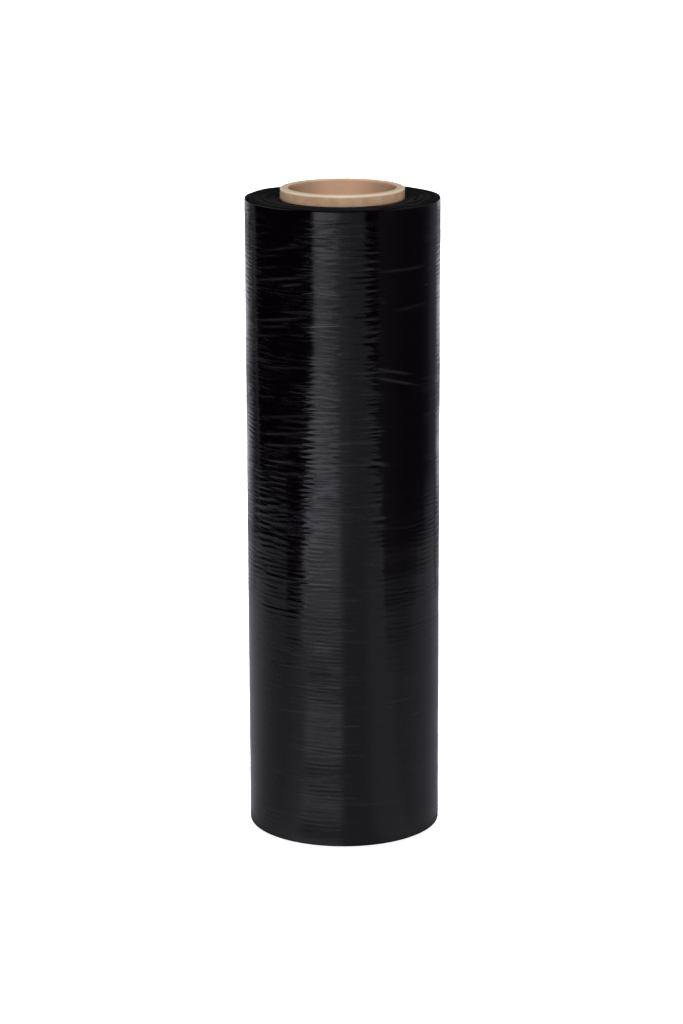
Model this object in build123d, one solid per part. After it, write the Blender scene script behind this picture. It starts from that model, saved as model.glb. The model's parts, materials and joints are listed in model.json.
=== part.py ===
from build123d import *
import math
import os

# Stretch wrap roll: stretch film wound in tight turns on a paper core that stands proud at both ends.
# Millimetres, +Z up along the roll's axis, origin at the centre of the core's lower end.

# Paper core, a spiral-wound tube cut square at both ends
core_bore = 76.2
core_wall = 5.7
core_overhang = 7.1
core_outer_round = 0.8
core_inner_bevel = 0.4

# Film, one web of constant width, wound straight on the core to this depth
film_width = 457.2
film_depth = 25.2

# The web wanders a little along the axis as it is wound, so bands of turns stand level with each other
# and each band is shifted by its own amount, the same at both ends
band_thickness = 2.1
web_wander = 0.5
wander_angle_per_band = 137.5

# The free end of the web lies along the roll's back as a straight step
tail_step = 0.25
tail_angle = 115.0

core_bore_radius = core_bore / 2
core_radius = core_bore_radius + core_wall
core_length = film_width + 2 * core_overhang
film_radius = core_radius + film_depth
band_count = max(2, round(film_depth / band_thickness))
band_pitch = film_depth / band_count


def paper_core():
    """A tube with its cut edges rolled over outside and bevelled inside, turned from its wall's section."""
    wall_middle = core_bore_radius + core_wall / 2
    section = Pos(wall_middle, core_length / 2) * Rectangle(core_wall, core_length)
    section = fillet(section.vertices().group_by(Axis.X)[-1], core_outer_round)
    section = chamfer(section.vertices().group_by(Axis.X)[0], core_inner_bevel)
    return revolve(Plane.XZ * section, Axis.Z)


def band_shift(band):
    """How far a band stands up from level, counted inwards from the outermost band, which is level."""
    return web_wander * math.sin(math.radians(wander_angle_per_band * band))


def inner_bands():
    """All bands under the outermost one: a stepped section, shifted alike at both ends, turned about the axis."""
    lower = []
    for band in range(band_count - 1, 0, -1):
        outer = film_radius - band * band_pitch
        height = core_overhang + band_shift(band)
        lower += [(outer - band_pitch, height), (outer, height)]
    upper = [(radius, height + film_width) for radius, height in reversed(lower)]
    section = make_face(Polyline(*lower, *upper, close=True))
    return revolve(Plane.XZ * section, Axis.Z)


def outermost_band():
    """The last turns, whose outline is a spiral of two half circles that ends in the step of the tail."""
    start = film_radius - tail_step
    half_way = film_radius - tail_step / 2
    first_radius = (start + half_way) / 2
    second_radius = (half_way + film_radius) / 2
    first_centre = start - first_radius
    second_centre = film_radius - second_radius
    spiral = Curve() + [
        ThreePointArc((start, 0), (first_centre, first_radius), (-half_way, 0)),
        ThreePointArc((-half_way, 0), (second_centre, -second_radius), (film_radius, 0)),
        Line((film_radius, 0), (start, 0)),
    ]
    outline = make_face(spiral) - Circle(film_radius - band_pitch)
    return Pos(0, 0, core_overhang) * Rot(0, 0, tail_angle) * extrude(outline, film_width)


def film_roll():
    """Every turn of the film as one solid, wound straight on the core."""
    return inner_bands() + outermost_band()


def main():
    """Write each piece to its own file."""
    os.makedirs("parts", exist_ok=True)
    for name, piece in {"paper_core": paper_core(), "film_roll": film_roll()}.items():
        export_step(piece, f"parts/{name}.step")
        print(name, len(piece.solids()), "solid", round(piece.volume), "mm3", piece.bounding_box().size)


main()
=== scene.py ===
"""Stretch wrap roll: black film wound in tight turns on a kraft paper core that stands proud at both ends.

Everything is in metres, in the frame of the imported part, with +Z up along the roll's axis. A bearing is an
angle round the axis in degrees, 0 at the front where the camera stands and growing towards the right of the
picture.
"""
import json
import logging
import math
from collections.abc import Mapping
from dataclasses import dataclass
from enum import Enum
from typing import Any

import bpy
import numpy as np
from mathutils import Matrix, Vector


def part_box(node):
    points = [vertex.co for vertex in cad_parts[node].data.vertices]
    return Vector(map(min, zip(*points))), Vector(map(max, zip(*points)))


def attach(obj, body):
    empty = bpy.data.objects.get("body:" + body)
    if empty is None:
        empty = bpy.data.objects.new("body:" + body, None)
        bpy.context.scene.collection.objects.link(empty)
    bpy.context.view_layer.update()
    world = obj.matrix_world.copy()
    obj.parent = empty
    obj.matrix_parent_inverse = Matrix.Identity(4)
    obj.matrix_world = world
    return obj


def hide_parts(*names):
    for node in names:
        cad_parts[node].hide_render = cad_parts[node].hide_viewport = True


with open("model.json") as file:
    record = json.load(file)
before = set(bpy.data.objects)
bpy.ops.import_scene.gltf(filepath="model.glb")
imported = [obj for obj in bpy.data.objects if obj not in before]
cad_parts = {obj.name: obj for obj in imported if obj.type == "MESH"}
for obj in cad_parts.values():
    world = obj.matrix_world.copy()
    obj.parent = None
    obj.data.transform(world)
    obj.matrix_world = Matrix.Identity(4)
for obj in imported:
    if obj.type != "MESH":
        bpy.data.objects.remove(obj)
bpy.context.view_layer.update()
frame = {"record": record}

MM = 0.001
# The front is towards -Y, at this angle from +X in degrees.
FRONT = -90.0
LOG = logging.getLogger("stretch_wrap_roll")
Colour = tuple[float, float, float]
Grid = np.ndarray
Point = tuple[float, float, float]
Socket = bpy.types.NodeSocket
Span = tuple[float, float]
Lobes = tuple[int, int]
Strip = tuple[slice, slice, Grid, Grid]


class Slot(Enum):
    """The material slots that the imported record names."""

    KRAFT = "kraft_board"
    FILM = "black_film"


class Value:
    """A float socket in a node graph that takes part in arithmetic, one Math node for each operation."""

    def __init__(self, graph: "Graph", socket: Socket) -> None:
        """Keeps the socket and the graph that it belongs to."""
        self.graph = graph
        self.socket = socket

    def _math(self, operation: str, *operands: "Value | float") -> "Value":
        """The result of one Math node with these inputs, in order."""
        made = self.graph.node("ShaderNodeMath", {"operation": operation}, dict(enumerate(operands)))
        return Value(self.graph, made.outputs[0])

    def __add__(self, other: "Value | float") -> "Value":
        """self + other."""
        return self._math("ADD", self, other)

    def __radd__(self, other: float) -> "Value":
        """other + self."""
        return self._math("ADD", other, self)

    def __sub__(self, other: "Value | float") -> "Value":
        """self - other."""
        return self._math("SUBTRACT", self, other)

    def __rsub__(self, other: float) -> "Value":
        """other - self."""
        return self._math("SUBTRACT", other, self)

    def __mul__(self, other: "Value | float") -> "Value":
        """self * other."""
        return self._math("MULTIPLY", self, other)

    def __rmul__(self, other: float) -> "Value":
        """other * self."""
        return self._math("MULTIPLY", other, self)

    def __pow__(self, power: float) -> "Value":
        """self ** power."""
        return self._math("POWER", self, power)


class Graph:
    """A node tree of a material or a world, built through one node-making method."""

    def __init__(self, owner: bpy.types.Material | bpy.types.World) -> None:
        """Empties the owner's node tree.

        Args:
            owner: The material or world to give new nodes.
        """
        owner.use_nodes = True
        self.owner = owner
        self.tree = owner.node_tree
        self.tree.nodes.clear()

    def node(
        self, kind: str, settings: Mapping[str, Any], inputs: Mapping[str | int, Any]
    ) -> bpy.types.Node:
        """Adds a node, sets it up and feeds its sockets.

        Args:
            kind: The node's type.
            settings: The node's own properties, set first.
            inputs: Values or links by socket identifier, name or place.

        Returns:
            The new node.
        """
        made = self.tree.nodes.new(kind)
        for name, setting in settings.items():
            setattr(made, name, setting)
        for key, value in inputs.items():
            self._feed(self._socket(made, key), value)
        return made

    @staticmethod
    def _socket(node: bpy.types.Node, key: str | int) -> Socket:
        """Finds an input by place, identifier or name.

        Args:
            node: The node to look in.
            key: A place, or an identifier or name.

        Returns:
            The input socket.
        """
        if isinstance(key, int):
            return node.inputs[key]
        by_identifier = {socket.identifier: socket for socket in node.inputs}
        return by_identifier.get(key) or node.inputs[key]

    def _feed(self, socket: Socket, value: Any) -> None:
        """Links a socket, or sets its own value.

        Args:
            socket: The input to feed.
            value: A Value, an output socket, a number, or a tuple for a colour or a vector.
        """
        if isinstance(value, Value):
            self.tree.links.new(value.socket, socket)
        elif isinstance(value, Socket):
            self.tree.links.new(value, socket)
        elif socket.type == "RGBA":
            socket.default_value = (*value, 1.0)
        else:
            socket.default_value = value

    def place(self) -> Socket:
        """The shaded point in the piece's own space, in metres."""
        return self.node("ShaderNodeTexCoord", {}, {}).outputs["Object"]

    def scaled(self, vector: Socket, scale: Point) -> Socket:
        """A vector multiplied by a scale along each axis."""
        made = self.node("ShaderNodeVectorMath", {"operation": "MULTIPLY"}, {0: vector, 1: scale})
        return made.outputs["Vector"]

    def noise(self, vector: Socket, scale: float, detail: float, rough: float) -> Value:
        """Smooth noise from 0 to 1, with so many cells for each unit of the vector."""
        inputs = {"Vector": vector, "Scale": scale, "Detail": detail, "Roughness": rough}
        return Value(self, self.node("ShaderNodeTexNoise", {}, inputs).outputs["Fac"])

    def wound_noise(self, cell: Span) -> Value:
        """Noise drawn out along the wind.

        Args:
            cell: Length of one spot round the roll, and its height up the roll.

        Returns:
            The noise value.
        """
        length, height = cell
        place = self.scaled(self.place(), (1 / length, 1 / length, 1 / height))
        return self.noise(place, scale=1.0, detail=2.0, rough=0.55)

    def ring_noise(self, pitch: float, detail: float, rough: float) -> Value:
        """Noise that changes only with the distance from the roll's axis.

        Args:
            pitch: Width of one spot.
            detail: Octaves added to the first.
            rough: Share of each octave against the one before.

        Returns:
            The noise value.
        """
        split = self.node("ShaderNodeSeparateXYZ", {}, {"Vector": self.place()})
        x, y = (Value(self, split.outputs[axis]) for axis in ("X", "Y"))
        radius = (x * x + y * y) ** 0.5
        line = self.node("ShaderNodeCombineXYZ", {}, {"X": radius * (1 / pitch)})
        return self.noise(line.outputs["Vector"], 1.0, detail, rough)

    def spread(self, value: Value, ends: Span) -> Value:
        """A value stretched smoothly from 0 to 1.

        Args:
            value: The value to stretch.
            ends: What becomes 0 and what becomes 1, and is held there beyond.

        Returns:
            The stretched value.
        """
        inputs = {"Value": value, "From Min": ends[0], "From Max": ends[1]}
        made = self.node("ShaderNodeMapRange", {"interpolation_type": "SMOOTHSTEP"}, inputs)
        return Value(self, made.outputs["Result"])

    def blend(self, first: Any, second: Any, share: Value) -> Socket:
        """A colour between two others.

        Args:
            first: The colour, or its socket, where share is 0.
            second: The colour, or its socket, where share is 1.
            share: How much of the second is shown.

        Returns:
            The mixed colour's socket.
        """
        inputs = {"Factor_Float": share, "A_Color": first, "B_Color": second}
        made = self.node("ShaderNodeMix", {"data_type": "RGBA"}, inputs)
        return next(socket for socket in made.outputs if socket.identifier == "Result_Color")

    def attribute(self, name: str) -> Value:
        """A number that the mesh holds at each of its points."""
        made = self.node("ShaderNodeAttribute", {"attribute_name": name}, {})
        return Value(self, made.outputs["Fac"])

    def bump(self, height: Value, distance: float, strength: float) -> Socket:
        """A normal tilted by a height from 0 to 1, where 1 stands this distance above 0."""
        inputs = {"Height": height, "Distance": distance, "Strength": strength}
        return self.node("ShaderNodeBump", {}, inputs).outputs["Normal"]

    def surface(self, inputs: Mapping[str, Any]) -> None:
        """Ends the graph with a Principled shader that has these values or links."""
        shader = self.node("ShaderNodeBsdfPrincipled", {}, inputs)
        self.node("ShaderNodeOutputMaterial", {}, {"Surface": shader.outputs["BSDF"]})


@dataclass(frozen=True)
class FilmSideFinish:
    """Glossy black film seen on its face: fine lines along the wind, creases, dull dashes, and pale streaks
    and crease lines of painted highlight.

    A cell is the length round the roll and the height up it of one spot of a mark's noise, and a range
    is the part of that noise that shows.
    """

    black: Colour = (0.00055, 0.00020, 0.00066)
    # Painted highlight: the pale colour below stands in for glints off ridges too fine for the mesh, where
    # the film is ruffled.
    painted_glint: Colour = (0.0034, 0.0030, 0.0037)
    # Painted highlight: the pale colour below lies along crease crests in place of their glint.
    crease_highlight: Colour = (0.0080, 0.0075, 0.0085)
    clear_roughness: float = 0.10
    haze_roughness: float = 0.05
    dash_roughness: float = 0.24
    refraction: float = 1.50
    line_cell: Span = (60.0 * MM, 1.1 * MM)
    line_depth: float = 0.012
    haze_cell: Span = (45.0 * MM, 4.0 * MM)
    haze_range: Span = (0.42, 0.72)
    glint_cell: Span = (42.0 * MM, 2.0 * MM)
    glint_range: Span = (0.56, 0.70)
    dash_cell: Span = (13.0 * MM, 1.2 * MM)
    dash_range: Span = (0.56, 0.74)
    crease_cell: Span = (48.0 * MM, 4.2 * MM)
    crease_middle: float = 0.5
    crease_half_width: float = 0.028
    crease_depth: float = 0.026

    def material(self) -> bpy.types.Material:
        """Makes the finish's nodes.

        Returns:
            The new material.
        """
        graph = Graph(bpy.data.materials.new("glossy_black_film"))
        lines = graph.wound_noise(self.line_cell)
        haze = graph.spread(graph.wound_noise(self.haze_cell), self.haze_range)
        streaks = graph.spread(graph.wound_noise(self.glint_cell), self.glint_range)
        dashes = graph.spread(graph.wound_noise(self.dash_cell), self.dash_range)
        off_crease = graph.wound_noise(self.crease_cell) - self.crease_middle
        crease = 1.0 - graph.spread(off_crease * off_crease, (0.0, self.crease_half_width**2))
        ruffle = graph.attribute("ruffle")
        # Painted highlight: pale streaks in the base colour where the film is ruffled, in place of glints
        # off fine ridges.
        film = graph.blend(self.black, self.painted_glint, streaks * ruffle)
        dull = dashes * ruffle
        relief = self.line_depth * lines + self.crease_depth * (crease * ruffle)
        graph.surface({
            # Painted highlight: the crease colour shows along the creases that the fold mark holds.
            "Base Color": graph.blend(film, self.crease_highlight, graph.attribute("fold")),
            "Roughness": self.clear_roughness + self.haze_roughness * haze + self.dash_roughness * dull,
            "IOR": self.refraction,
            "Normal": graph.bump(relief, MM, 1.0),
        })
        return graph.owner


@dataclass(frozen=True)
class FilmEndFinish:
    """The cut edges of the turns: satin black with faint rings, some of them paler."""

    black: Colour = (0.0042, 0.0039, 0.0041)
    pale: Colour = (0.0080, 0.0076, 0.0080)
    pale_range: Span = (0.24, 0.42)
    pale_gloss: float = 0.12
    roughness: float = 0.58
    sheen_level: float = 0.25
    ring_pitch: float = 0.45 * MM
    ring_depth: float = 0.03 * MM
    ring_tilt: float = 0.8
    patch_size: float = 16.0 * MM

    def material(self) -> bpy.types.Material:
        """Makes the finish's nodes.

        Returns:
            The new material.
        """
        graph = Graph(bpy.data.materials.new("film_turn_edges"))
        rings = graph.ring_noise(self.ring_pitch, detail=2.0, rough=0.6)
        patches = graph.noise(graph.place(), 1 / self.patch_size, detail=3.0, rough=0.55)
        streaks = graph.spread(rings * patches, self.pale_range)
        graph.surface({
            "Base Color": graph.blend(self.black, self.pale, streaks),
            "Roughness": self.roughness - self.pale_gloss * streaks,
            "Specular IOR Level": self.sheen_level,
            "Normal": graph.bump(rings, self.ring_depth, self.ring_tilt),
        })
        return graph.owner


@dataclass(frozen=True)
class KraftFinish:
    """Spiral-wound kraft board: mottled brown fibre, paler where it is cut, darker down the seams.

    A pair of shares says how much two noises count towards a tone, and a range which part of that tone
    shows.
    """

    brown: Colour = (0.222, 0.140, 0.089)
    light: Colour = (0.280, 0.188, 0.127)
    inside: Colour = (0.345, 0.196, 0.115)
    cut: Colour = (0.365, 0.306, 0.234)
    seam: Colour = (0.150, 0.085, 0.050)
    roughness: float = 0.78
    fibre_roughness: float = 0.14
    sheen_level: float = 0.22
    mottle_size: float = 7.0 * MM
    mottle_rise: float = 0.5
    fibre_size: float = 0.55 * MM
    fibre_stretch: Point = (1.0, 1.0, 0.45)
    fibre_depth: float = 0.05 * MM
    fibre_tilt: float = 0.7
    ply_thickness: float = 0.57 * MM
    mottle_and_fibre: Span = (0.65, 0.35)
    face_range: Span = (0.34, 0.68)
    ply_and_fibre: Span = (0.6, 0.4)
    cut_range: Span = (0.42, 0.75)

    def material(self) -> bpy.types.Material:
        """Makes the finish's nodes.

        Returns:
            The new material.
        """
        graph = Graph(bpy.data.materials.new("kraft_board"))
        mottle = graph.noise(graph.place(), 1 / self.mottle_size, detail=4.0, rough=0.6)
        fibre_place = graph.scaled(graph.place(), self.fibre_stretch)
        fibres = graph.noise(fibre_place, 1 / self.fibre_size, detail=3.0, rough=0.65)
        plies = graph.ring_noise(self.ply_thickness, detail=1.0, rough=0.5)
        faces = self.mottle_and_fibre[0] * mottle + self.mottle_and_fibre[1] * fibres
        cuts = self.ply_and_fibre[0] * plies + self.ply_and_fibre[1] * fibres
        tone = graph.spread(faces, self.face_range)
        outside = graph.blend(self.brown, self.light, tone)
        lining = graph.blend(self.light, self.inside, tone)
        paper = graph.blend(outside, lining, graph.attribute("lining"))
        cut_face = graph.blend(self.cut, self.light, graph.spread(cuts, self.cut_range))
        board = graph.blend(paper, cut_face, graph.attribute("cut"))
        relief = fibres + self.mottle_rise * mottle
        graph.surface({
            "Base Color": graph.blend(board, self.seam, graph.attribute("seam")),
            "Roughness": self.roughness + self.fibre_roughness * fibres,
            "Specular IOR Level": self.sheen_level,
            "Normal": graph.bump(relief, self.fibre_depth, self.fibre_tilt),
        })
        return graph.owner


@dataclass(frozen=True)
class FloorFinish:
    """A matt white floor that is lit from below as well, so that no deep shadow falls on it."""

    white: Colour = (0.95, 0.95, 0.95)
    roughness: float = 0.9
    glow: float = 1.0

    def material(self) -> bpy.types.Material:
        """Makes the finish's nodes.

        Returns:
            The new material.
        """
        graph = Graph(bpy.data.materials.new("pale_floor"))
        graph.surface({
            "Base Color": self.white,
            "Roughness": self.roughness,
            "Specular IOR Level": 0.0,
            "Emission Color": self.white,
            "Emission Strength": self.glow,
        })
        return graph.owner


def quad_mesh(name: str, points: Grid, quads: Grid) -> bpy.types.Mesh:
    """Makes a mesh of quads.

    Args:
        name: The mesh's name.
        points: Place of each point, on a grid.
        quads: The four points of each quad, on a grid.

    Returns:
        The new mesh.
    """
    mesh = bpy.data.meshes.new(name)
    mesh.from_pydata(points.reshape(-1, 3).tolist(), [], quads.reshape(-1, 4).tolist())
    return mesh


def ring_points(radius: Grid, bearing: Grid, height: Grid) -> Grid:
    """The place of each point that has this distance from the axis, this bearing and this height."""
    angle = np.radians(bearing + FRONT)
    return np.stack([radius * np.cos(angle), radius * np.sin(angle), height], axis=-1)


def ring_mesh(name: str, radius: Grid, bearing: Grid, height: Grid) -> bpy.types.Mesh:
    """Closes a grid of points round the axis into a ring of quads, facing outwards.

    Args:
        name: The mesh's name.
        radius: Distance of each point from the axis; rows go round the section, columns round the axis.
        bearing: Bearing of each point, in degrees.
        height: Height of each point.

    Returns:
        The smooth-shaded mesh.
    """
    corner = np.arange(radius.size).reshape(radius.shape)
    below = np.roll(corner, -1, axis=0)
    quads = np.stack([corner, below, np.roll(below, -1, axis=1), np.roll(corner, -1, axis=1)], axis=-1)
    mesh = quad_mesh(name, ring_points(radius, bearing, height), quads)
    mesh.shade_smooth()
    return mesh


def mark_points(mesh: bpy.types.Mesh, name: str, values: Grid) -> None:
    """Keeps a number at each point of a mesh, row by row, for its finish to read."""
    layer = mesh.attributes.new(name, "FLOAT", "POINT")
    layer.data.foreach_set("value", values.astype(np.float32).ravel())


def put_in_scene(name: str, data: bpy.types.ID) -> bpy.types.Object:
    """Makes an object of a mesh, a light or a camera.

    Args:
        name: The object's name.
        data: What it shows.

    Returns:
        The object, linked to the scene.
    """
    made = bpy.data.objects.new(name, data)
    bpy.context.scene.collection.objects.link(made)
    return made


def smooth_step(value: Grid) -> Grid:
    """0 below 0, 1 above 1, and a smooth rise between them."""
    held = np.clip(value, 0.0, 1.0)
    return held * held * (3.0 - 2.0 * held)


def on_all_columns(values: Grid, columns: int) -> Grid:
    """A grid that repeats each row's number over all its columns."""
    return np.tile(np.asarray(values)[:, None], (1, columns))


def round_waves(bearing: Grid, lobes: Lobes, height: float, count: int, rng: np.random.Generator) -> Grid:
    """Slow waves round the axis that meet themselves after one turn.

    Args:
        bearing: Bearings to read the waves at, in degrees.
        lobes: Fewest and most waves in one turn.
        height: Usual height of the sum.
        count: How many waves are added.
        rng: The source of chance.

    Returns:
        The sum of the waves at each bearing.
    """
    total = np.zeros_like(bearing)
    for _ in range(count):
        turns = int(rng.integers(lobes[0], lobes[1] + 1))
        total += np.sin(np.radians(bearing * turns) + rng.uniform(0.0, math.tau))
    return height * total / math.sqrt(count / 2)


@dataclass(frozen=True)
class RipplePatch:
    """A stretch of the film's face, and between what limits its ripples' sizes and tilts are drawn."""

    bearings: Span
    heights: Span
    count: int
    half_length: Span
    pitch: Span
    crest: Span
    tilts: Span


@dataclass(frozen=True)
class Ripple:
    """A few crests side by side that fade out at both ends, tilted by an angle to level."""

    bearing: float
    height: float
    half_length: float
    pitch: float
    crest: float
    tilt: float


@dataclass(frozen=True)
class Crease:
    """One fold in the film's face that can be told apart from the ripples, with a painted highlight along
    its crest from 0 to 1 pale.
    """

    bearing: float
    height: float
    half_length: float
    tilt: float
    width: float
    crest: float
    pale: float


@dataclass
class FilmSkin:
    """How far the film's face stands off its smooth radius, at falling heights and rising bearings.

    A crease's hollow is given in shares of its crest and width. A window is how far out a mark is worked
    out: in half lengths round the roll, and in pitches or widths and half lengths up it.
    """

    bearings: Grid
    heights: Grid
    radius: float
    seed: int
    gauge_lengths: tuple[float, ...] = (23.0 * MM, 41.0 * MM, 67.0 * MM, 118.0 * MM)
    buckle_length_mm: Span = (14.0, 34.0)
    buckle_height_mm: Span = (6.0, 16.0)
    flute_lengths: tuple[float, ...] = (13.0 * MM, 21.0 * MM, 37.0 * MM, 74.0 * MM)
    flute_share: float = 0.4
    ripple_window: Point = (1.3, 3.0, 0.3)
    crease_window: Point = (1.4, 5.0, 0.4)
    buckle_window: float = 2.5
    end_power: int = 4
    hollow_depth: float = 0.55
    hollow_offset: float = 1.6
    hollow_width: float = 1.3

    def __post_init__(self) -> None:
        """Starts from a smooth face and a seeded source of chance."""
        self.rng = np.random.default_rng(self.seed)
        size = (self.heights.size, self.bearings.size)
        self.swell = np.zeros(size)
        self.ripples = np.zeros(size)
        self.ruffle = np.zeros(size)
        self.crease_highlight = np.zeros(size)

    def _near(self, bearing: float, height: float, reach: Span) -> Strip:
        """The part of the grid near a place.

        Args:
            bearing: Bearing of the place.
            height: Height of the place.
            reach: How far the part goes round the roll and up it, to each side.

        Returns:
            Its rows and columns, and the distance of each of its points from the place, round and up.
        """
        wide = math.degrees(reach[0] / self.radius)
        columns = slice(*np.searchsorted(self.bearings, (bearing - wide, bearing + wide)))
        rows = slice(*np.searchsorted(-self.heights, (-height - reach[1], -height + reach[1])))
        around = np.radians(self.bearings[columns] - bearing) * self.radius
        return rows, columns, around[None, :], (self.heights[rows] - height)[:, None]

    def _tilted(self, mark: Ripple | Crease, step: float, window: Point) -> Strip:
        """The part of the grid near a ripple or crease.

        Args:
            mark: The ripple or crease.
            step: Its pitch or width.
            window: How far out the part goes, as the class says.

        Returns:
            Its rows and columns, a number at each of its points that passes 1 where the mark ends, and the
            point's distance across the mark.
        """
        reach = (mark.half_length * window[0], step * window[1] + mark.half_length * window[2])
        rows, columns, around, up = self._near(mark.bearing, mark.height, reach)
        lean = math.radians(mark.tilt)
        along = around * math.cos(lean) + up * math.sin(lean)
        across = up * math.cos(lean) - around * math.sin(lean)
        return rows, columns, (along / mark.half_length) ** self.end_power, across

    def ripple(self, ripple: Ripple) -> None:
        """Adds one ripple.

        Args:
            ripple: The ripple to add.
        """
        rows, columns, ends, across = self._tilted(ripple, ripple.pitch, self.ripple_window)
        fade = np.exp(-ends - (across / ripple.pitch) ** 2)
        phase = self.rng.uniform(0.0, math.tau)
        crests = np.cos(math.tau * across / ripple.pitch + phase)
        self.ripples[rows, columns] += ripple.crest * fade * crests
        self.ruffle[rows, columns] += ripple.crest * fade

    def scatter(self, patch: RipplePatch) -> None:
        """Adds a patch's ripples at places drawn by chance.

        Args:
            patch: The patch to fill.
        """
        limits = (patch.bearings, patch.heights, patch.half_length, patch.pitch, patch.crest, patch.tilts)
        for _ in range(patch.count):
            self.ripple(Ripple(*(self.rng.uniform(*ends) for ends in limits)))

    def fold(self, crease: Crease) -> None:
        """Adds one crease: a sharp crest with a hollow along its lower side, and a painted highlight along
        the crest.

        Args:
            crease: The crease to add.
        """
        rows, columns, ends, distance = self._tilted(crease, crease.width, self.crease_window)
        across = distance / crease.width
        ridge = np.exp(-(across**2))
        hollow = np.exp(-(((across + self.hollow_offset) / self.hollow_width) ** 2))
        fade = np.exp(-ends)
        self.ripples[rows, columns] += crease.crest * fade * (ridge - self.hollow_depth * hollow)
        # Painted highlight along the crest.
        self.crease_highlight[rows, columns] += crease.pale * fade * ridge

    def _level_wave(self, length: float) -> Grid:
        """A wave up the roll of this length, from -1 to 1 at each height, that starts anywhere."""
        return np.sin(math.tau * self.heights / length + self.rng.uniform(0.0, math.tau))

    def gauge_bands(self, height: float) -> None:
        """Adds the thick and thin bands, this high, that the web's uneven gauge winds up."""
        for length in self.gauge_lengths:
            self.swell += 0.5 * height * self._level_wave(length)[:, None]

    def buckles(self, height: float, count: int) -> None:
        """Adds soft swellings where air is wound in between the turns.

        Args:
            height: Most that a swelling stands up or lies in.
            count: How many there are.
        """
        for _ in range(count):
            bearing = self.rng.uniform(self.bearings[0], self.bearings[-1])
            place = self.rng.uniform(self.heights[-1], self.heights[0])
            length = self.rng.uniform(*self.buckle_length_mm) * MM
            width = self.rng.uniform(*self.buckle_height_mm) * MM
            reach = (length * self.buckle_window, width * self.buckle_window)
            rows, columns, around, up = self._near(bearing, place, reach)
            swell = np.exp(-((around / length) ** 2) - (up / width) ** 2)
            self.swell[rows, columns] += self.rng.uniform(-height, height) * swell

    def free_end(self, lift: float, reach: float) -> None:
        """Lets the free end of the web, at the last column, stand off in small flutes.

        Args:
            lift: Usual height of the flutes.
            reach: How far back from the edge the flutes reach.
        """
        back = np.radians(self.bearings[-1] - self.bearings) * self.radius
        fade = np.exp(-back / reach)
        flutes = sum(self._level_wave(length) for length in self.flute_lengths)
        self.swell += lift * np.clip(flutes, 0.0, None)[:, None] * self.flute_share * fade[None, :]


def mm(first: float, last: float) -> Span:
    """Two lengths that are given in millimetres."""
    return first * MM, last * MM


# Each patch's bearings, heights, count, half lengths, pitches, crests and tilts.
RIPPLE_PATCHES = (
    # A faint net all over.
    RipplePatch((-154.0, 204.0), mm(12, 459), 1500, mm(3.5, 8), mm(2.8, 5), mm(0.004, 0.014), (-20.0, 20.0)),
    # Lines, strokes and a coarser net on the left.
    RipplePatch((-76.0, -42.0), mm(240, 459), 250, mm(8, 22), mm(2.2, 3.4), mm(0.006, 0.020), (5.0, 11.0)),
    RipplePatch((-44.0, -20.0), mm(250, 459), 60, mm(6, 14), mm(2.4, 3.4), mm(0.006, 0.018), (2.0, 9.0)),
    RipplePatch((-62.0, -36.0), mm(204, 295), 80, mm(4, 10), mm(3.2, 6.4), mm(0.020, 0.065), (-4.0, 12.0)),
    RipplePatch((-34.0, -22.0), mm(180, 300), 110, mm(2.5, 5), mm(3, 4.4), mm(0.018, 0.050), (-30.0, 35.0)),
    # Ribs low in the middle, the lit band above them and its right edge.
    RipplePatch((-21.0, 3.0), mm(10, 225), 230, mm(10, 18), mm(2.9, 3.6), mm(0.008, 0.022), (-2.0, 2.0)),
    RipplePatch((-24.0, 14.0), mm(228, 459), 385, mm(4, 18), mm(2.2, 5.4), mm(0.006, 0.040), (-9.0, 9.0)),
    RipplePatch((12.0, 22.0), mm(205, 459), 110, mm(2, 7), mm(2.8, 8), mm(0.012, 0.060), (-9.0, 9.0)),
    # Long faint lines on the right, and more of them round the back.
    RipplePatch((20.0, 75.0), mm(12, 459), 110, mm(12, 34), mm(2.8, 4.6), mm(0.003, 0.011), (-8.0, 3.0)),
    RipplePatch((66.0, 204.0), mm(12, 459), 1100, mm(8, 28), mm(2.4, 4.2), mm(0.008, 0.040), (-6.0, 6.0)),
    RipplePatch((-154.0, -70.0), mm(12, 459), 700, mm(8, 28), mm(2.4, 4.2), mm(0.008, 0.040), (-4.0, 9.0)),
    # The left edge, a net high on the left, and faint lines low on both sides.
    RipplePatch((-78.0, -60.0), mm(240, 459), 240, mm(3, 9), mm(2.3, 3.8), mm(0.020, 0.055), (-6.0, 20.0)),
    RipplePatch((-38.0, -25.0), mm(300, 430), 70, mm(2.5, 5), mm(3, 4.4), mm(0.012, 0.032), (-60.0, 60.0)),
    RipplePatch((-74.0, -23.0), mm(10, 215), 210, mm(10, 24), mm(2.8, 4.2), mm(0.005, 0.015), (-2.0, 6.0)),
    RipplePatch((4.0, 66.0), mm(10, 205), 230, mm(10, 24), mm(2.8, 4.2), mm(0.005, 0.013), (-5.0, 3.0)),
)
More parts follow.
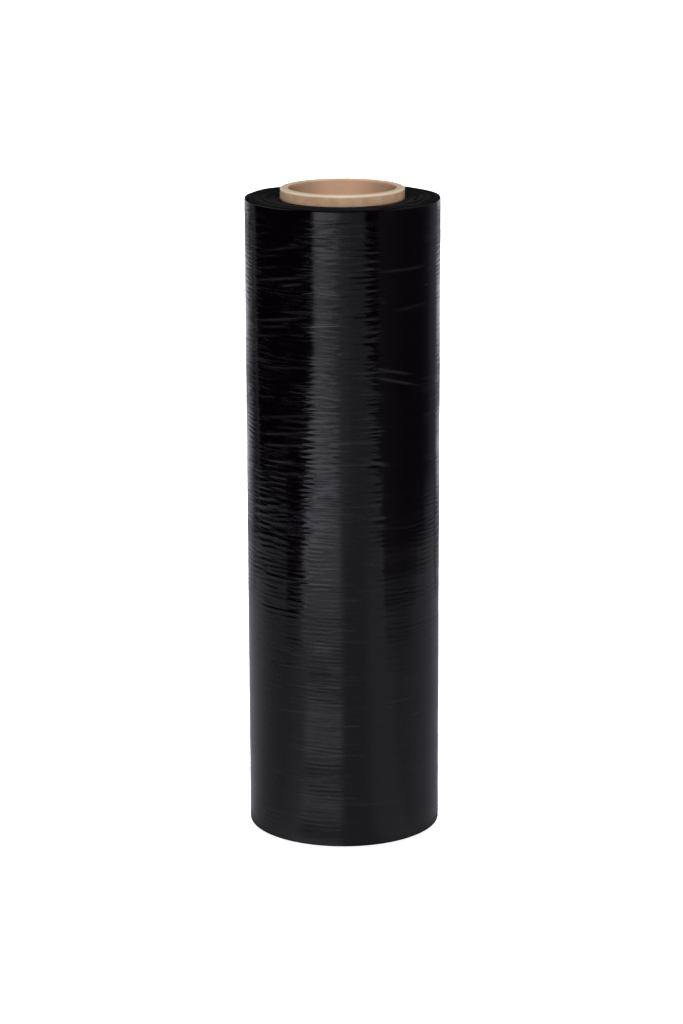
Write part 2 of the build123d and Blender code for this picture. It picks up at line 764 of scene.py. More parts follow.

# Each crease's bearing, height, half length, tilt, width, crest and how pale its painted highlight is, with
# lengths in mm.
CREASE_ROWS = (
    # Right of the dark line.
    (19.0, 288.5, 12, -17.0, 1.1, 0.16, 0.3),
    (38.0, 421.8, 20, 0.0, 0.8, 0.08, 0.5),
    (30.0, 351.5, 15, -14.0, 0.8, 0.08, 0.8),
    (33.0, 344.0, 17, -15.0, 0.8, 0.07, 0.8),
    (44.0, 395.0, 12, 4.0, 0.8, 0.05, 0.4),
    # Creases on the left with pale lines of painted highlight.
    (-38.0, 436.5, 17, 10.0, 0.6, 0.04, 0.5),
    (-41.0, 415.0, 25, 8.5, 0.6, 0.04, 0.9),
    (-31.0, 412.0, 9, 10.0, 0.7, 0.05, 0.9),
    (-42.0, 386.5, 22, 8.5, 0.6, 0.05, 1.0),
    (-46.0, 381.0, 14, 8.5, 0.6, 0.04, 0.6),
    (-50.0, 430.0, 12, 9.0, 0.6, 0.03, 0.4),
    (-49.0, 422.0, 12, 9.0, 0.6, 0.03, 0.4),
    (-50.0, 374.0, 11, 9.0, 0.6, 0.03, 0.5),
    (-40.0, 353.0, 20, 6.0, 0.6, 0.04, 0.5),
    (-40.0, 306.0, 22, 8.0, 0.7, 0.05, 0.7),
    (-52.0, 330.5, 9, 9.0, 0.6, 0.04, 0.6),
    (-38.0, 318.5, 21, 8.0, 0.6, 0.04, 0.6),
    (-38.0, 298.0, 20, 6.0, 0.7, 0.05, 0.7),
    (-36.0, 286.5, 8, 5.0, 0.8, 0.06, 0.8),
    (-33.0, 278.5, 9, 4.0, 0.7, 0.05, 0.6),
    # Dark creases in the middle.
    (11.5, 436.0, 11, 1.0, 1.0, 0.22, 0.0),
    (11.5, 417.5, 10, 4.0, 1.0, 0.20, 0.0),
    (10.5, 390.0, 10, 2.0, 1.0, 0.20, 0.0),
    (4.5, 365.0, 9, -3.0, 1.0, 0.19, 0.0),
    (-14.0, 333.0, 7, -8.0, 1.1, 0.12, 0.0),
    (1.0, 338.5, 12, -3.0, 1.0, 0.20, 0.0),
    # Dark creases low on the left.
    (-45.0, 231.0, 12, 1.0, 1.2, 0.16, 0.0),
    (-44.0, 201.5, 11, -1.0, 1.1, 0.15, 0.0),
    (-48.0, 193.0, 7, -2.0, 0.9, 0.08, 0.0),
    (-51.0, 181.0, 7, 0.0, 0.9, 0.12, 0.0),
    (-42.0, 177.8, 19, 0.0, 1.0, 0.15, 0.0),
)
CREASES = tuple(
    Crease(bearing, height * MM, half_length * MM, tilt, width * MM, crest * MM, pale)
    for bearing, height, half_length, tilt, width, crest, pale in CREASE_ROWS
)


@dataclass
class FilmRoll:
    """All turns of the film as one closed piece, wound on the core between its two bare ends."""

    core_radius: float
    core_length: float
    depth: float = 25.2 * MM
    width: float = 457.2 * MM
    rim_round: float = 0.7 * MM
    rim_wander: float = 0.12 * MM
    rim_lobes: Lobes = (2, 17)
    rim_waves: int = 8
    rim_calm: float = 6.0 * MM
    core_lap: float = 0.1 * MM
    band_count: int = 12
    web_wander: float = 0.5 * MM
    wander_angle_per_band: float = 137.5
    band_edge: float = 0.5 * MM
    turn_height: float = 0.03 * MM
    turn_lobes: Lobes = (1, 5)
    turn_waves: int = 3
    turn_wave_share: float = 0.6
    end_calm: float = 1.5 * MM
    dish_depth: float = 1.2 * MM
    dish_width: float = 14.0 * MM
    tail_step: float = 0.25 * MM
    tail_bearing: float = 205.0
    tail_edge: float = 0.15 * MM
    tail_lift: float = 0.35 * MM
    tail_flutter: float = 7.0 * MM
    gauge_height: float = 0.05 * MM
    buckle_height: float = 0.07 * MM
    buckle_count: int = 420
    least_ruffle: float = 0.015 * MM
    full_ruffle: float = 0.07 * MM
    sharp_angle: float = 42.0
    columns: int = 120
    side_rows: int = 700
    upper_rings: int = 60
    lower_rings: int = 36
    rim_rows: int = 6
    rim_power: int = 4
    seed: int = 18

    @property
    def radius(self) -> float:
        """The film's outer radius."""
        return self.core_radius + self.depth

    @property
    def bottom(self) -> float:
        """Height of the film's lower end, which is also the length of bare core at each end."""
        return (self.core_length - self.width) / 2

    @property
    def top(self) -> float:
        """Height of the film's upper end."""
        return self.bottom + self.width

    def bearings(self) -> Grid:
        """Bearing of each column, from just past the tail round to its free edge."""
        edge = math.degrees(self.tail_edge / self.radius)
        return np.linspace(self.tail_bearing - 360.0, self.tail_bearing - edge, self.columns)

    def wound_radius(self) -> Grid:
        """The smooth radius at each column, growing by the tail's step in one turn."""
        return self.radius - self.tail_step * np.linspace(1.0, 0.0, self.columns)

    def skin(self, heights: Grid) -> tuple[Grid, Grid, Grid]:
        """How far the face stands off at each row and column.

        Args:
            heights: Height of each row.

        Returns:
            The rise over the wound radius, and how ruffled the film is and how strong the painted highlight
            along its creases is, from 0 up.
        """
        skin = FilmSkin(self.bearings(), heights, self.radius, self.seed)
        skin.gauge_bands(self.gauge_height)
        skin.buckles(self.buckle_height, self.buckle_count)
        for patch in RIPPLE_PATCHES:
            skin.scatter(patch)
        for crease in CREASES:
            skin.fold(crease)
        skin.free_end(self.tail_lift, self.tail_flutter)
        near_rim = np.minimum(self.top - heights, heights - self.bottom)
        calm = smooth_step(near_rim / self.rim_calm)[:, None]
        ruffle = smooth_step((skin.ruffle - self.least_ruffle) / (self.full_ruffle - self.least_ruffle))
        return (skin.swell + skin.ripples) * calm, ruffle * calm, skin.crease_highlight * calm

    def band_rise(self, radius: Grid) -> Grid:
        """How far the turns stand up from level, as the web wandered while it was wound.

        Args:
            radius: Where to read the rise.

        Returns:
            The rise at each radius.
        """
        pitch = self.depth / self.band_count
        inwards = (self.radius - radius) / pitch
        band = np.floor(inwards)
        past = (inwards - band) * pitch / self.band_edge
        here = np.sin(np.radians(self.wander_angle_per_band * band))
        before = np.sin(np.radians(self.wander_angle_per_band * np.maximum(band - 1, 0)))
        return self.web_wander * (before + (here - before) * smooth_step(past))

    def end_rings(self, count: int, rng: np.random.Generator) -> tuple[Grid, Grid]:
        """The rings of one end, from the core out to the rim.

        Args:
            count: How many rings there are.
            rng: The source of chance.

        Returns:
            Radius of each ring, and how far each point stands up from level.
        """
        rings = np.linspace(self.core_radius - self.core_lap, self.radius - self.rim_round, count)
        bearings = self.bearings()
        wave_height = self.turn_wave_share * self.turn_height
        rise = on_all_columns(self.band_rise(rings), self.columns)
        for row in range(count):
            rise[row] += self.turn_height * rng.uniform(-1.0, 1.0)
            rise[row] += round_waves(bearings, self.turn_lobes, wave_height, self.turn_waves, rng)
        flat = smooth_step((self.radius - self.rim_round - rings) / self.end_calm)
        return rings, rise * flat[:, None]

    def dish(self, radius: Grid) -> Grid:
        """How far the first turns lie under the later ones, at each radius of the upper end."""
        return self.dish_depth * smooth_step(1.0 - (radius - self.core_radius) / self.dish_width)

    def rows(self, side: Grid, skin: Grid) -> tuple[Grid, Grid]:
        """All points round the section: upper end, upper rim, face, lower rim and lower end.

        Args:
            side: Height of each row of the face.
            skin: How far each point of the face stands off the wound radius.

        Returns:
            Radius and height of each point.
        """
        rng = np.random.default_rng(self.seed)
        upper, upper_rise = self.end_rings(self.upper_rings, rng)
        lower, lower_rise = self.end_rings(self.lower_rings, rng)
        wander = round_waves(self.bearings(), self.rim_lobes, self.rim_wander, self.rim_waves, rng)
        wound = self.wound_radius()
        shrink = wound - self.radius
        upper_share, lower_share = (
            np.linspace(0.0, 1.0, count)[:, None] ** self.rim_power
            for count in (self.upper_rings, self.lower_rings)
        )
        turn = np.linspace(0.0, math.pi / 2, self.rim_rows + 2)[1:-1]
        arc_in = self.rim_round * (1 - np.sin(turn))[:, None]
        arc_up = self.rim_round * np.cos(turn)[:, None]
        radius = np.concatenate([
            upper[:, None] + shrink * upper_share,
            wound[None, :] - arc_in,
            wound[None, :] + skin,
            wound[None, :] - arc_in[::-1],
            (lower[:, None] + shrink * lower_share)[::-1],
        ])
        height = np.concatenate([
            self.top + upper_rise - self.dish(upper)[:, None] + wander * upper_share,
            self.top - self.rim_round + arc_up + wander * np.sin(math.pi / 2 - turn)[:, None],
            on_all_columns(side, self.columns),
            on_all_columns((self.bottom + self.rim_round - arc_up)[::-1, 0], self.columns),
            (self.bottom + lower_rise)[::-1],
        ])
        return radius, height

    def build(self) -> bpy.types.Object:
        """Makes the closed mesh, dresses it and puts it in the scene.

        Returns:
            The film's piece.
        """
        side = np.linspace(self.top - self.rim_round, self.bottom + self.rim_round, self.side_rows)
        skin, ruffled, crease_highlight = self.skin(side)
        radius, height = self.rows(side, skin)
        bearing = np.tile(self.bearings(), (radius.shape[0], 1))
        mesh = ring_mesh("film_turns", radius, bearing, height)
        mesh.set_sharp_from_angle(angle=math.radians(self.sharp_angle))
        # The fold mark holds the painted highlight along the creases.
        self.dress(mesh, {"ruffle": ruffled, "fold": crease_highlight})
        piece = put_in_scene("film_turns", mesh)
        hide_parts("film_roll")
        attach(piece, "root")
        return piece

    def dress(self, mesh: bpy.types.Mesh, marks: Mapping[str, Grid]) -> None:
        """Marks the face, and gives it and the two ends their finishes.

        Args:
            mesh: The film's mesh.
            marks: Each mark of the face and its number at each point there.
        """
        above = self.upper_rings + self.rim_rows
        below = self.lower_rings + self.rim_rows
        for name, values in marks.items():
            mark_points(mesh, name, np.pad(values, ((above, below), (0, 0))))
        mesh.materials.append(FilmSideFinish().material())
        mesh.materials.append(FilmEndFinish().material())
        rows = above + self.side_rows + below
        row = np.arange(rows)
        is_end = (row < self.upper_rings - 1) | (row >= rows - self.lower_rings)
        mesh.polygons.foreach_set("material_index", np.repeat(is_end.astype(np.int32), self.columns))


@dataclass
class PaperCore:
    """The spiral-wound paper tube that the film is wound on, cut square at both ends."""

    radius: float
    length: float
    bore_radius: float
    overhang: float
    outer_round: float = 1.3 * MM
    inner_bevel: float = 0.4 * MM
    seam_turns: int = 3
    seam_width: float = 1.1 * MM
    seam_depth: float = 0.30 * MM
    seam_wall: float = 0.38
    seam_columns: tuple[float, ...] = (-1.0, -0.6, 0.6, 1.0)
    seam_clearance: float = 2.0
    outer_seam_bearing: float = 150.0
    inner_seam_bearing: float = -40.0
    ply_count: int = 10
    ply_groove: float = 0.05 * MM
    ply_sharpness: int = 8
    ply_swell: float = 0.05 * MM
    burr: float = 0.035 * MM
    sharp_angle: float = 50.0
    plain_columns: int = 128
    bore_rows: int = 400
    exposed_rows: int = 10
    covered_rows: int = 24
    face_rings: int = 26
    round_rows: int = 5
    seed: int = 5

    def half_seam(self) -> float:
        """Half of a seam's width, in degrees round the bore."""
        return math.degrees(self.seam_width / 2 / self.bore_radius)

    def turn_per_height(self) -> float:
        """How far the seams turn for each metre up, in degrees."""
        return 360.0 * self.seam_turns / self.length

    def bearings(self) -> Grid:
        """The columns at the upper rim, closer together at both seams.

        Returns:
            Bearing of each column, in degrees.
        """
        half = self.half_seam()
        kept = np.linspace(-180.0, 180.0, self.plain_columns, endpoint=False)
        close = []
        for seam in (self.inner_seam_bearing, self.outer_seam_bearing):
            kept = kept[np.abs(kept - seam) > self.seam_clearance * half]
            close += [seam + half * share for share in self.seam_columns]
        return np.sort(np.concatenate([kept, close]))

    def groove(self, seam: float) -> Grid:
        """1 down a seam at this bearing and 0 beside it, at each column."""
        return smooth_step((1.0 - np.abs(self.bearings() - seam) / self.half_seam()) / self.seam_wall)

    def rim(self, columns: int, rng: np.random.Generator) -> tuple[Grid, Grid]:
        """One cut face and its outer edge, from the bore to the outside.

        Args:
            columns: How many columns there are.
            rng: The source of chance.

        Returns:
            Radius of each row, and how far each point lies in from the cut plane.
        """
        first = self.bore_radius + self.inner_bevel
        face = np.linspace(first, self.radius - self.outer_round, self.face_rings)
        ply = (face - self.bore_radius) / (self.radius - self.bore_radius) * self.ply_count
        groove = self.ply_groove * np.cos(math.tau * ply) ** self.ply_sharpness
        drop = groove[:, None] + self.burr * rng.uniform(0.0, 1.0, (self.face_rings, columns))
        turn = np.linspace(0.0, math.pi / 2, self.round_rows + 1)[1:]
        edge = self.radius - self.outer_round * (1.0 - np.sin(turn))
        edge_drop = on_all_columns(self.outer_round * (1.0 - np.cos(turn)), columns)
        edge_drop[:-1] += self.burr * rng.uniform(0.0, 1.0, (self.round_rows - 1, columns))
        return np.concatenate([face, edge]), np.concatenate([drop, edge_drop])

    def outside(self) -> tuple[Grid, Grid]:
        """The rows of the outer wall, from the upper edge down.

        Returns:
            Height of each row, and how far the columns have turned there, in degrees.
        """
        bare = self.length - self.overhang
        shown = np.linspace(self.length - self.outer_round, bare, self.exposed_rows + 1)[1:]
        covered = np.linspace(bare, self.overhang, self.covered_rows + 2)[1:-1]
        shown_low = (self.length - shown)[::-1]
        turn_per_height = self.turn_per_height()
        bare_twist = turn_per_height * self.overhang
        twist = np.concatenate([
            -turn_per_height * (self.length - shown),
            np.linspace(-bare_twist, bare_twist, self.covered_rows + 2)[1:-1],
            turn_per_height * shown_low,
        ])
        return np.concatenate([shown, covered, shown_low]), twist

    def build(self) -> bpy.types.Object:
        """Makes the closed mesh, dresses it and puts it in the scene.

        Returns:
            The core's piece.
        """
        rng = np.random.default_rng(self.seed)
        bearings = self.bearings()
        columns = bearings.size
        inner_groove = self.groove(self.inner_seam_bearing)
        outer_groove = self.groove(self.outer_seam_bearing)
        swell = self.ply_swell * np.sin(np.radians(2 * (bearings - self.inner_seam_bearing)))
        upper, upper_drop = self.rim(columns, rng)
        lower, lower_drop = self.rim(columns, rng)
        outside, outside_twist = self.outside()
        bore = np.linspace(self.inner_bevel, self.length - self.inner_bevel, self.bore_rows)
        bore_twist = -self.turn_per_height() * (self.length - bore)
        radius = np.concatenate([
            on_all_columns(upper, columns),
            np.tile(self.radius - self.seam_depth * outer_groove, (outside.size, 1)),
            on_all_columns(lower[::-1], columns),
            np.tile(self.bore_radius + (self.seam_depth * inner_groove + swell), (bore.size, 1)),
        ])
        height = np.concatenate([
            self.length - upper_drop,
            on_all_columns(outside, columns),
            lower_drop[::-1],
            on_all_columns(bore, columns),
        ])
        twist = np.concatenate([np.zeros(upper.size), outside_twist, np.zeros(lower.size), bore_twist])
        mesh = ring_mesh("core_tube", radius, bearings[None, :] + twist[:, None], height)
        mesh.set_sharp_from_angle(angle=math.radians(self.sharp_angle))
        seams = np.concatenate([
            np.zeros((upper.size, columns)),
            np.tile(outer_groove, (outside.size, 1)),
            np.zeros((lower.size, columns)),
            np.tile(inner_groove, (bore.size, 1)),
        ])
        self.dress(mesh, seams, (upper.size, outside.size, lower.size, bore.size))
        piece = put_in_scene("core_tube", mesh)
        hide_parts("paper_core")
        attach(piece, "root")
        return piece

    def dress(self, mesh: bpy.types.Mesh, seams: Grid, rows_of: tuple[int, ...]) -> None:
        """Marks the seams, the cut faces and the bore, and gives the board its finish.

        Args:
            mesh: The core's mesh.
            seams: 1 down the seams and 0 beside them, at each point.
            rows_of: How many rows the upper rim, the outside, the lower rim and the bore have.
        """
        mark_points(mesh, "seam", seams)
        for name, marks in (("cut", (1.0, 0.0, 1.0, 0.0)), ("lining", (0.0, 0.0, 0.0, 1.0))):
            mark_points(mesh, name, on_all_columns(np.repeat(marks, rows_of), seams.shape[1]))
        mesh.materials.append(KraftFinish().material())


@dataclass(frozen=True)
class PhotoCamera:
    """The camera that took the picture, fitted to the outlines of the film and the core."""

    position: Point = (0.0, -2.18035, 0.78445)
    yaw: float = -0.0006
    pitch: float = 0.24618
    roll: float = -0.00312
    lens: float = 110.03
    sensor: float = 36.0

    def build(self) -> bpy.types.Object:
        """Makes the camera the scene's own.

        Returns:
            The camera.
        """
        ahead = Vector((
            math.sin(self.yaw) * math.cos(self.pitch),
            math.cos(self.yaw) * math.cos(self.pitch),
            -math.sin(self.pitch),
        ))
        level = Vector((math.cos(self.yaw), -math.sin(self.yaw), 0.0))
        upright = level.cross(ahead)
        right = math.cos(self.roll) * level + math.sin(self.roll) * upright
        up = math.cos(self.roll) * upright - math.sin(self.roll) * level
        data = bpy.data.cameras.new("photo_camera")
        data.sensor_fit = "VERTICAL"
        data.sensor_height = self.sensor
        data.lens = self.lens
        camera = put_in_scene("photo_camera", data)
        turned = Matrix((right, up, -ahead)).transposed().to_4x4()
        camera.matrix_world = Matrix.Translation(self.position) @ turned
        bpy.context.scene.camera = camera
        return camera


@dataclass(frozen=True)
class SoftPanel:
    """A soft-edged patch of light on the wall or the table, with sides that lean in degrees a metre."""

    bearings: Span
    side_fades: Span
    heights: Span
    end_fades: Span
    radiance: float
    leans: Span = (0.0, 0.0)
    lean_heights: Span = (-1.0, 1.0)

    def glow(self, bearing: Grid, height: Grid) -> Grid:
        """The light that the patch gives off.

        Args:
            bearing: Bearings of the places, in degrees.
            height: Their heights on the wall, or their distances from the axis on the table.

        Returns:
            The radiance at each place.
        """
        bent = np.clip(height, *self.lean_heights)
        first, last = (side + lean * bent for side, lean in zip(self.bearings, self.leans, strict=True))
        left = smooth_step((bearing - first) / self.side_fades[0] + 0.5)
        right = smooth_step((last - bearing) / self.side_fades[1] + 0.5)
        below = smooth_step((height - self.heights[0]) / self.end_fades[0] + 0.5)
        above = smooth_step((self.heights[1] - height) / self.end_fades[1] + 0.5)
        return self.radiance * left * right * below * above


def about(middle: float, half: float) -> Span:
    """The two ends of a stretch about its middle."""
    return middle - half, middle + half


# A panel has bearings, fades at its sides, heights, fades at its ends and a radiance, and may have leans.
# Slats across the key strip draw the fine light and dark lines in the band left of the middle.
KEY_SIDES = (-36.8, -5.0)
KEY_LEANS = (65.0, 0.0)
KEY_BEND = (-0.22, 0.06)
KEY_SLAT_MIDDLES = (-0.5, -0.1, 0.3)
KEY_SLATS = tuple(
    SoftPanel(KEY_SIDES, (6.0, 12.0), about(middle, 0.1), (0.16, 0.16), 0.96, KEY_LEANS, KEY_BEND)
    for middle in KEY_SLAT_MIDDLES
)
# Slats behind the roll break up its left edge. Each has a middle height and a radiance.
BACK_SLAT_ROWS = ((-0.42, 0.18), (-0.24, 0.40), (-0.06, 0.64), (0.12, 0.78), (0.30, 0.78), (0.48, 0.74))
BACK_SLATS = tuple(
    SoftPanel((-215.0, -140.0), (10.0, 50.0), about(middle, 0.045), (0.08, 0.08), radiance)
    for middle, radiance in BACK_SLAT_ROWS
)
# The key strip with its brighter left half, and the grey strip beside it that ends at the dark line.
FRONT_PANELS = (
    SoftPanel(KEY_SIDES, (6.0, 12.0), (-2.0, 0.40), (0.2, 0.70), 0.28, KEY_LEANS, KEY_BEND),
    SoftPanel((-36.8, -17.0), (6.0, 22.0), (-2.0, 0.40), (0.2, 0.70), 0.46, KEY_LEANS, KEY_BEND),
    SoftPanel((-5.0, 37.0), (12.0, 5.0), (-2.0, 0.40), (0.2, 0.30), 0.26, (0.0, -60.0), (-0.18, 0.20)),
    SoftPanel((30.0, 37.5), (9.0, 5.0), (-2.0, 0.06), (0.2, 0.20), 0.10, (-60.0, -60.0), (-0.18, 0.20)),
    SoftPanel((-5.0, 8.0), (12.0, 10.0), (-2.0, 0.60), (0.2, 0.60), 0.10),
)
# Faint light to the right of the dark line, brighter low down and at the right edge.
RIGHT_PANELS = (
    SoftPanel((40.4, 64.0), (3.5, 30.0), (-2.0, 0.60), (0.2, 0.60), 0.068),
    SoftPanel((64.0, 118.0), (30.0, 10.0), (-2.0, 0.60), (0.2, 0.60), 0.027),
    SoftPanel((46.0, 112.0), (10.0, 10.0), (-2.0, -0.22), (0.2, 0.26), 0.11),
    SoftPanel((112.0, 138.0), (12.0, 14.0), (-2.0, -0.14), (0.2, 0.20), 0.24),
    SoftPanel((120.0, 144.0), (12.0, 14.0), (-0.30, 0.60), (0.2, 0.60), 0.075),
)
# A low panel and a thin strip on the left.
THIN_STRIP = (-0.12, 0.34)
LEFT_PANELS = (
    SoftPanel((-132.0, -70.0), (14.0, 5.0), (-2.0, -0.16), (0.2, 0.07), 0.34),
    SoftPanel((-122.5, -117.5), (3.0, 3.0), THIN_STRIP, (0.10, 0.30), 0.14, (-25.0, -25.0), THIN_STRIP),
)
# High panels that only ripples and creases show, one on each side.
HIGH_PANELS = (
    SoftPanel((-128.0, -66.0), (20.0, 30.0), (0.40, 3.0), (0.20, 0.2), 0.45),
    SoftPanel((52.0, 128.0), (20.0, 20.0), (0.42, 3.0), (0.36, 0.2), 0.26),
)
# Light from behind, which shows along both edges and on the roll's back.
BACK_PANELS = (
    SoftPanel((-215.0, -140.0), (10.0, 50.0), (-0.25, 0.62), (0.8, 0.25), 0.10),
    SoftPanel((-165.0, -134.0), (10.0, 8.0), (-2.0, 0.02), (0.2, 0.34), 0.18),
    SoftPanel((130.0, 215.0), (60.0, 10.0), (0.00, 0.62), (0.6, 0.25), 0.16),
    SoftPanel((173.0, 187.0), (8.0, 8.0), (-2.0, 0.62), (0.2, 0.25), 0.70),
)
PANELS = KEY_SLATS + BACK_SLATS + FRONT_PANELS + RIGHT_PANELS + LEFT_PANELS + HIGH_PANELS + BACK_PANELS

# Rings on the table carry the key strip's lines on to the foot of the roll. Each has a distance and a
# radiance, and its ends and fades are shares of the distance.
RING_ENDS = (0.82, 1.21)
RING_FADE = 0.30
TABLE_RING_ROWS = ((0.082, 0.36), (0.172, 0.44), (0.362, 0.62), (0.74, 0.50))
TABLE_RINGS = tuple(
    SoftPanel(
        (-42.0, -2.0), (12.0, 10.0), (RING_ENDS[0] * away, RING_ENDS[1] * away),
        (RING_FADE * away, RING_FADE * away), radiance,
    )
    for away, radiance in TABLE_RING_ROWS
)
ALL_OVER = (-9.0, 9.0)
TABLE_PANELS = TABLE_RINGS + (
    SoftPanel((-900.0, 900.0), (1.0, 1.0), ALL_OVER, (1.0, 1.0), 0.0860),
    SoftPanel((-56.0, -40.0), (34.0, 12.0), ALL_OVER, (1.0, 1.0), 0.17),
    SoftPanel((27.0, 60.0), (14.0, 20.0), ALL_OVER, (1.0, 1.0), 0.10),
    SoftPanel((-185.0, -105.0), (50.0, 40.0), ALL_OVER, (1.0, 1.0), 0.11),
)


@dataclass(frozen=True)
class TableWing:
    """A stretch of bearings where the lit table top reaches further out."""

    bearings: Span
    fades: Span
    reach: float

    def share(self, bearing: Grid) -> Grid:
        """1 within the stretch, falling smoothly to 0 at its two ends."""
        rising = smooth_step((bearing - self.bearings[0]) / self.fades[0])
        return rising * smooth_step((self.bearings[1] - bearing) / self.fades[1])


FRONT_WING = TableWing((-46.0, 50.0), (8.0, 12.0), 0.24)
RIGHT_WING = TableWing((38.0, 96.0), (14.0, 12.0), 0.08)
FAR_RIGHT_WING = TableWing((76.0, 140.0), (26.0, 10.0), 0.15)


def turned_glow(panels: tuple[SoftPanel, ...], bearing: Grid, across: Grid) -> Grid:
    """The light of several panels together at each place, counted on all turns of the bearing."""
    return sum(panel.glow(bearing + turn, across) for panel in panels for turn in (-360.0, 0.0, 360.0))


@dataclass(frozen=True)
class GlowFinish:
    """A dark surface that gives off the light that its mesh is marked with."""

    name: str
    dark: Colour = (0.0, 0.0, 0.0)
    tint: Colour = (0.955, 0.975, 1.065)
    most: float = 2.0

    def material(self) -> bpy.types.Material:
        """Makes the finish's nodes.

        Returns:
            The new material.
        """
        graph = Graph(bpy.data.materials.new(self.name))
        graph.surface({
            "Base Color": self.dark,
            "Specular IOR Level": 0.0,
            "Emission Color": graph.blend(self.dark, self.tint, graph.attribute("glow")),
            "Emission Strength": self.most,
        })
        return graph.owner


@dataclass(frozen=True)
class LightTent:
    """A round wall of soft panels and a lit table top, which only the gloss of the roll shows."""

    radius: float = 1.5
    heights: Span = (-1.0, 2.2)
    columns: int = 180
    rows: int = 128
    table_radius: float = 0.72
    table_height: float = 0.3 * MM
    table_hole: float = 0.02
    edge_fade: float = 0.06
    right_edge_fade: float = 0.30
    shade_start: float = 0.066
    shade_width: float = 0.026
    under_table: float = -0.45

    def glowing(self, name: str, distance: Grid, height: Grid, glow: Grid) -> None:
        """Makes a stage piece that gives off light to glossy surfaces alone.

        Args:
            name: The piece's name.
            distance: Distance of each point from the axis, row by row.
            height: Height of each point.
            glow: Light that each point gives off.
        """
        finish = GlowFinish(name)
        corner = np.arange(distance.size).reshape(distance.shape)
        quads = np.stack([corner[:-1, :-1], corner[1:, :-1], corner[1:, 1:], corner[:-1, 1:]], axis=-1)
        mesh = quad_mesh(name, ring_points(distance, self.bearings(), height), quads)
        mark_points(mesh, "glow", glow / finish.most)
        mesh.materials.append(finish.material())
        piece = put_in_scene(name, mesh)
        piece.visible_camera = False
        piece.visible_diffuse = False
        piece.visible_shadow = False

    def bearings(self) -> Grid:
        """Bearing of each column, once round."""
        return np.linspace(-180.0, 180.0, self.columns + 1)

    def table_edge(self) -> tuple[Grid, Grid]:
        """Where the lit table top ends.

        Returns:
            How far it reaches at each bearing, and over what width it fades there.
        """
        bearing = self.bearings()
        wings = (FRONT_WING, RIGHT_WING, FAR_RIGHT_WING)
        edge = sum((wing.reach * wing.share(bearing) for wing in wings), self.table_radius)
        return edge, self.edge_fade + self.right_edge_fade * RIGHT_WING.share(bearing)

    def build(self) -> None:
        """Sets up the wall and the table top."""
        bearing, height = np.meshgrid(self.bearings(), np.linspace(*self.heights, self.rows + 1))
        wall = turned_glow(PANELS, bearing, height)
        self.glowing("light_tent", np.full_like(bearing, self.radius), height, wall)
        bearing, share = np.meshgrid(self.bearings(), np.linspace(self.table_hole, 1.0, self.rows + 1))
        edge, fade = self.table_edge()
        distance = share * edge
        beyond = turned_glow(PANELS, bearing, np.full_like(distance, self.under_table))
        lit = smooth_step((edge - distance) / fade)
        open_to_light = smooth_step((distance - self.shade_start) / self.shade_width)
        table = open_to_light * lit * turned_glow(TABLE_PANELS, bearing, distance) + (1.0 - lit) * beyond
        self.glowing("table_top", distance, np.full_like(distance, self.table_height), table)


@dataclass(frozen=True)
class FarLamp:
    """A light that falls evenly on everything, from the direction of its place and so many degrees wide."""

    name: str
    place: Point
    spread: float
    strength: float


FAR_LAMPS = (
    FarLamp("key_light", (-0.04, -1.9, 2.0), 30.0, 4.9),
    FarLamp("left_fill", (-1.0, -0.25, 0.02), 3.0, 1.25),
    FarLamp("right_fill", (1.0, -0.25, 0.02), 3.0, 1.45),
)


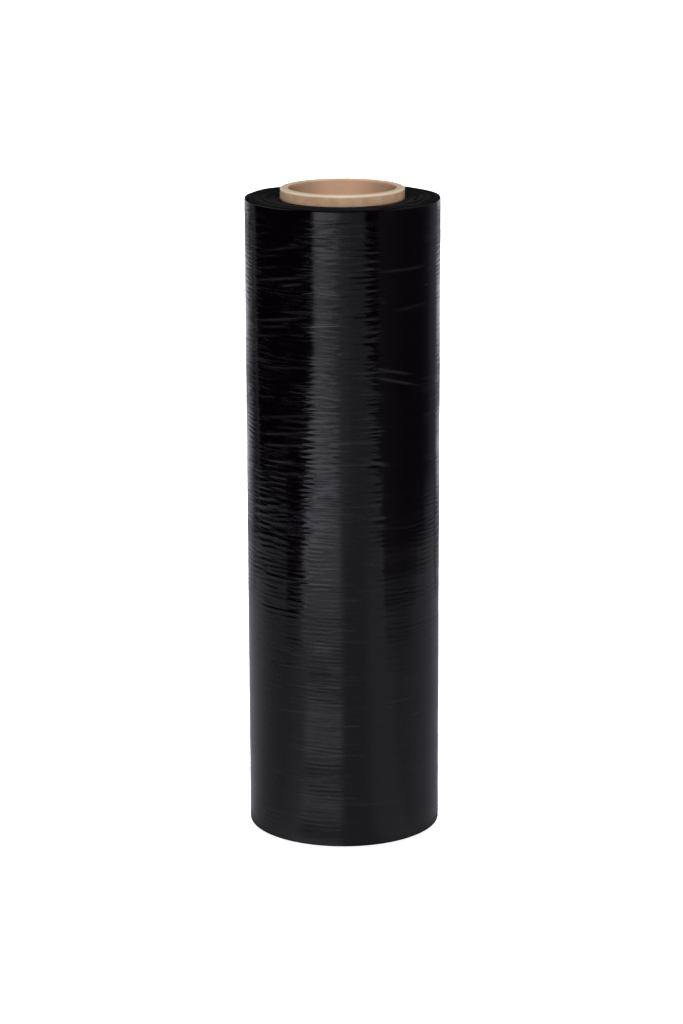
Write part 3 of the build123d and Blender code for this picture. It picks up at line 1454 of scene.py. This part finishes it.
@dataclass(frozen=True)
class Studio:
    """A pale floor, a light tent round the roll, four lamps for matt surfaces and an even sky."""

    floor_radius: float = 40.0
    floor_sides: int = 96
    backdrop: float = 1.0
    sky: float = 0.22
    dark: float = 0.004
    bore_light_place: Point = (0.0, -0.60, 0.62)
    bore_light_aim: Point = (0.0, 0.038, 0.466)
    bore_light_cone: float = 4.2
    bore_light_power: float = 5.4

    def floor(self) -> None:
        """Lays a wide round floor that the roll's gloss doesn't show."""
        angles = np.linspace(0.0, math.tau, self.floor_sides, endpoint=False)
        rim = np.stack([np.cos(angles), np.sin(angles), np.zeros_like(angles)], axis=-1) * self.floor_radius
        mesh = bpy.data.meshes.new("floor")
        mesh.from_pydata(rim.tolist(), [], [tuple(range(angles.size))])
        mesh.materials.append(FloorFinish().material())
        piece = put_in_scene("floor", mesh)
        piece.visible_glossy = False

    def far_lamp(self, lamp: FarLamp) -> None:
        """Adds a light from far off.

        Args:
            lamp: The lamp to add.
        """
        data = bpy.data.lights.new(lamp.name, "SUN")
        data.angle = math.radians(lamp.spread)
        data.energy = lamp.strength
        self.hang(data, Vector(lamp.place), Vector())

    def bore_light(self) -> None:
        """Adds a small spot on the far wall of the core's bore."""
        data = bpy.data.lights.new("bore_light", "SPOT")
        data.spot_size = math.radians(self.bore_light_cone)
        data.spot_blend = 1.0
        data.energy = self.bore_light_power
        self.hang(data, Vector(self.bore_light_place), Vector(self.bore_light_aim))

    def hang(self, data: bpy.types.Light, place: Vector, aim: Vector) -> None:
        """Puts a light in the scene that neither the camera nor the roll's gloss shows.

        Args:
            data: The light.
            place: Where it is.
            aim: Where it points.
        """
        light = put_in_scene(data.name, data)
        turned = (aim - place).to_track_quat("-Z", "Y").to_matrix().to_4x4()
        light.matrix_world = Matrix.Translation(place) @ turned
        light.visible_camera = False
        light.visible_glossy = False

    def sky_world(self) -> None:
        """Makes a sky that is pale to the eye, soft as a light, and dark in the roll's gloss."""
        world = bpy.data.worlds.new("studio")
        bpy.context.scene.world = world
        graph = Graph(world)
        ray = graph.node("ShaderNodeLightPath", {}, {}).outputs
        light, gloss, seen = (
            graph.node("ShaderNodeBackground", {}, {"Color": (level, level, level)}).outputs[0]
            for level in (self.sky, self.dark, self.backdrop)
        )
        unseen = graph.node("ShaderNodeMixShader", {}, {0: ray["Is Glossy Ray"], 1: light, 2: gloss})
        sky = graph.node(
            "ShaderNodeMixShader", {}, {0: ray["Is Camera Ray"], 1: unseen.outputs[0], 2: seen}
        )
        graph.node("ShaderNodeOutputWorld", {}, {"Surface": sky.outputs[0]})

    def build(self) -> None:
        """Sets up the floor, the light tent, the lamps and the sky."""
        self.floor()
        LightTent().build()
        for lamp in FAR_LAMPS:
            self.far_lamp(lamp)
        self.bore_light()
        self.sky_world()
        bpy.context.scene.view_settings.view_transform = "Standard"


def main() -> None:
    """Builds the core, the film, the studio and the camera, and logs the camera's name."""
    logging.basicConfig(level=logging.INFO, format="%(message)s")
    low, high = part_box("paper_core")
    core_radius = (high[0] - low[0]) / 2
    core_length = high[2] - low[2]
    bore = next(mount for mount in frame["record"]["mounts"] if mount["name"] == "core_bore")
    film = FilmRoll(core_radius, core_length)
    core = PaperCore(core_radius, core_length, bore["dims"]["r_mm"] * MM, film.bottom)
    for piece in (core.build(), film.build()):
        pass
    Studio().build()
    LOG.info("camera: %s", PhotoCamera().build().name)


if __name__ == "__main__":
    main()
